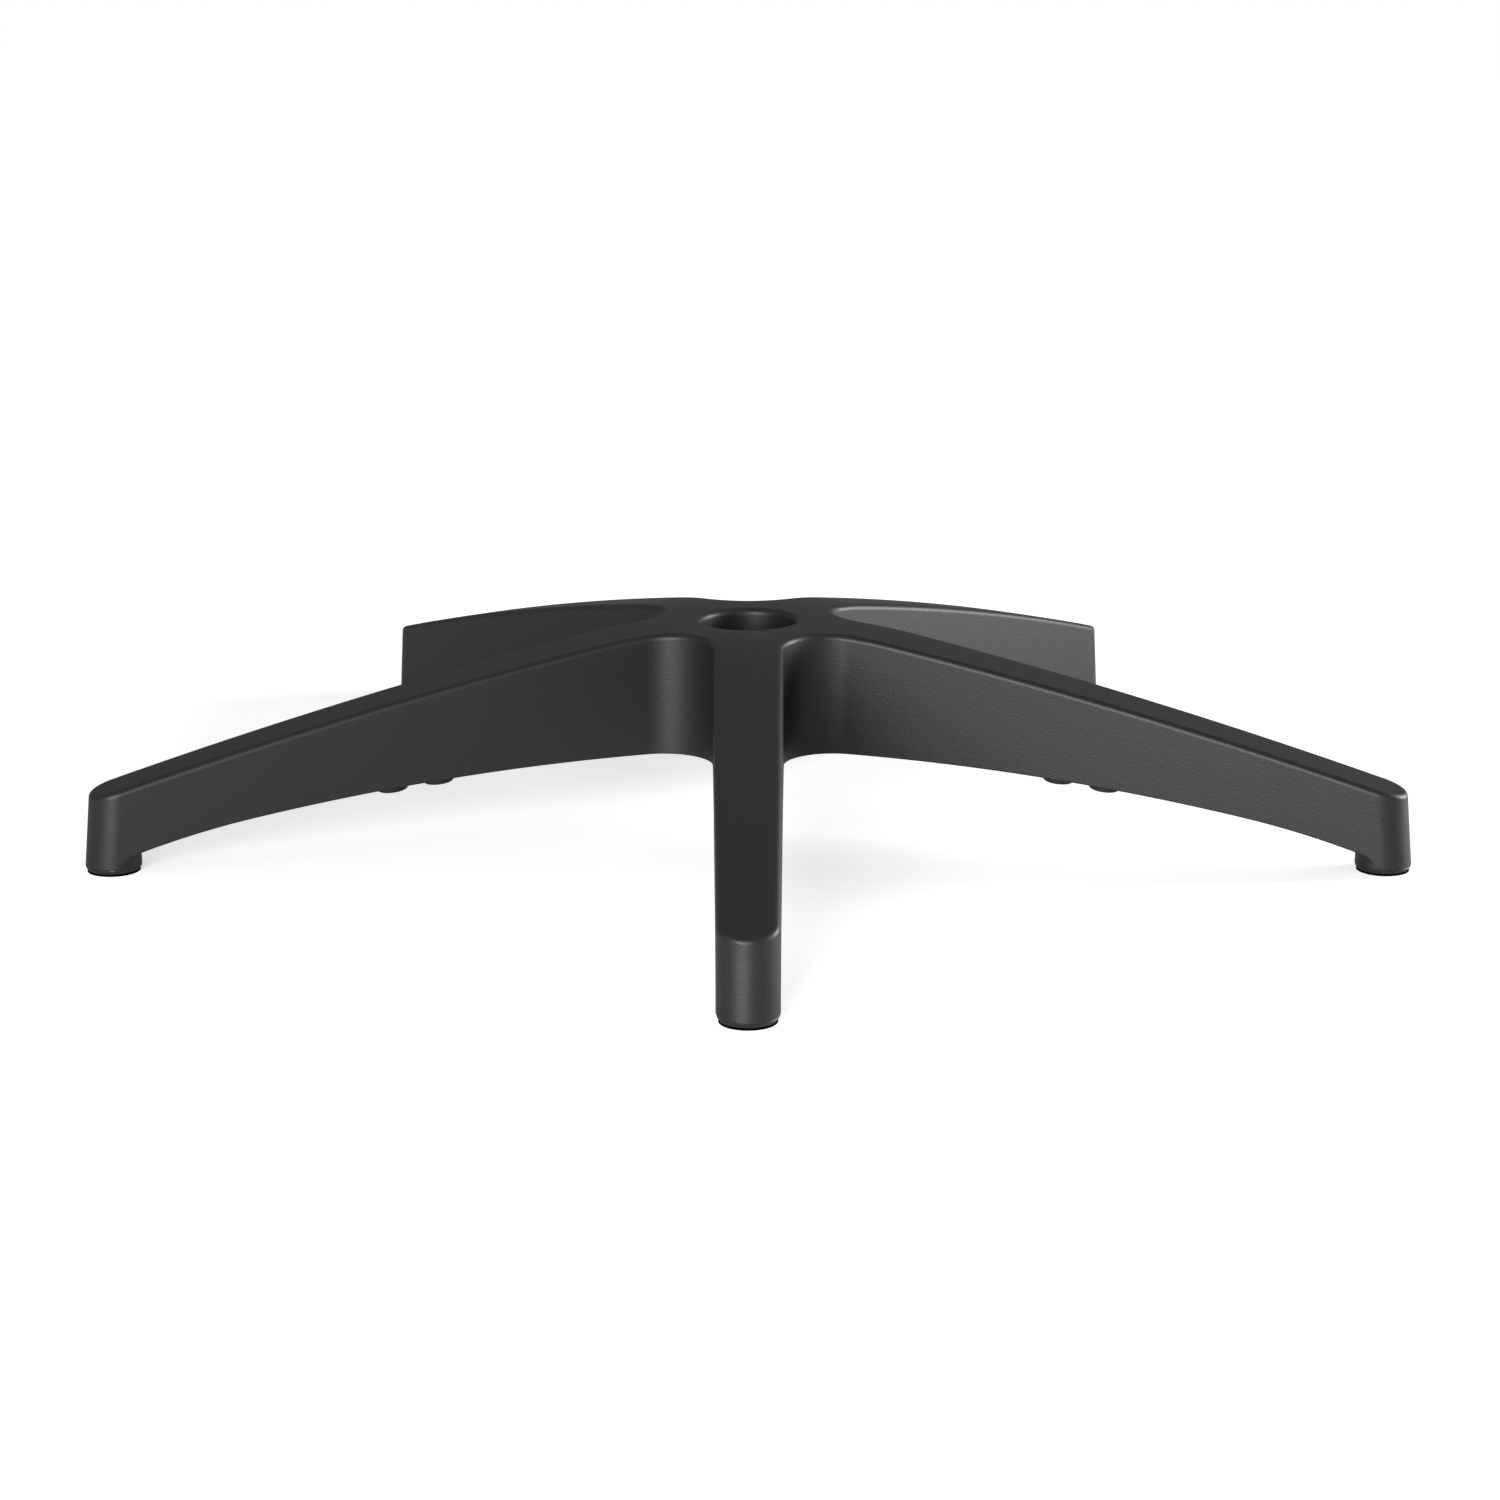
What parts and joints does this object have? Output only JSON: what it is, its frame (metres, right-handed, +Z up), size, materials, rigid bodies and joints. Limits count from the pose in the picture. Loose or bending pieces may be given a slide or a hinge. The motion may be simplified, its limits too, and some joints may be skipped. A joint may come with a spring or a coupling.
{
  "type": "office chair five star base",
  "caption": "Moulded plastic chair base: a domed hub with a tapered gas lift bore and straight sloping legs that end in upright feet with caster sockets.",
  "frame": {"origin": "centre of the gas lift bore's mouth, in the plane of the hub's flat top", "axes": "+Z up along the gas lift bore; the front leg points along -Y and the others follow every 72 degrees; the feet end at z = -0.106"},
  "size_m": [0.6664, 0.6351, 0.106],
  "materials": {
    "moulded_plastic": "fine spark-eroded grain, satin"
  },
  "bodies": {
    "root": {"five_star_base": "moulded_plastic"}
  },
  "joints": []
}
